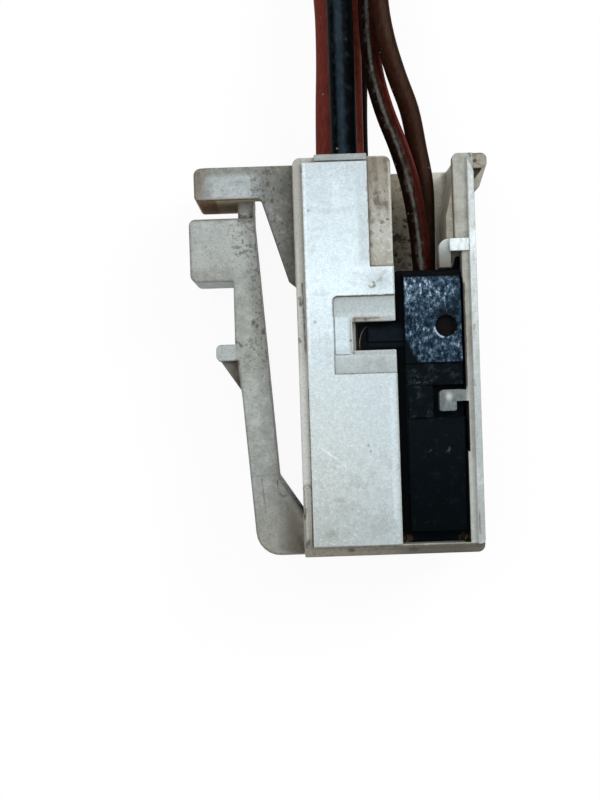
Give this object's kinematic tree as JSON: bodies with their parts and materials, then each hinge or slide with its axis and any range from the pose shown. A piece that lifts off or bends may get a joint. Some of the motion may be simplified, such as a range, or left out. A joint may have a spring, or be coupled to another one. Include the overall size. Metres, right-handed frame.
{
  "type": "wire to board connector housing",
  "caption": "Used two-part wire connector: pale housing with a latch lever, finger guard and slide-in dark insert, on six cut wires.",
  "frame": {"origin": "centre of the housing's footprint on its rear face, midway between the press pad and the ear and between the mating face and the wire end", "axes": "+X across the front from the latch lever to the side wall, +Y from the mating face to the wires, +Z from the rear face to the front face"},
  "size_m": [0.0252, 0.0954, 0.014],
  "materials": {
    "natural_nylon": "satin",
    "black_plastic": "gloss",
    "tinned_brass": "satin",
    "spring_steel": "satin",
    "copper": "satin",
    "black_insulation": "satin",
    "red_insulation": "satin",
    "brown_insulation": "satin",
    "dark_insulation": "satin"
  },
  "bodies": {
    "root": {"housing": "natural_nylon", "insert": "black_plastic", "contact_black": "tinned_brass", "contact_red_left": "tinned_brass", "contact_red_right": "tinned_brass", "contact_dark_brown": "tinned_brass", "contact_striped": "tinned_brass", "contact_brown": "tinned_brass", "spring_black": "spring_steel", "spring_red_left": "spring_steel", "spring_red_right": "spring_steel", "spring_dark_brown": "spring_steel", "spring_striped": "spring_steel", "spring_brown": "spring_steel", "core_black": "copper", "core_red_left": "copper", "core_red_right": "copper", "core_dark_brown": "copper", "core_striped": "copper", "core_brown": "copper", "wire_black": "black_insulation", "wire_red_left": "red_insulation", "wire_red_right": "red_insulation", "wire_dark_brown": "brown_insulation", "wire_striped": "dark_insulation", "wire_brown": "brown_insulation"}
  },
  "joints": []
}
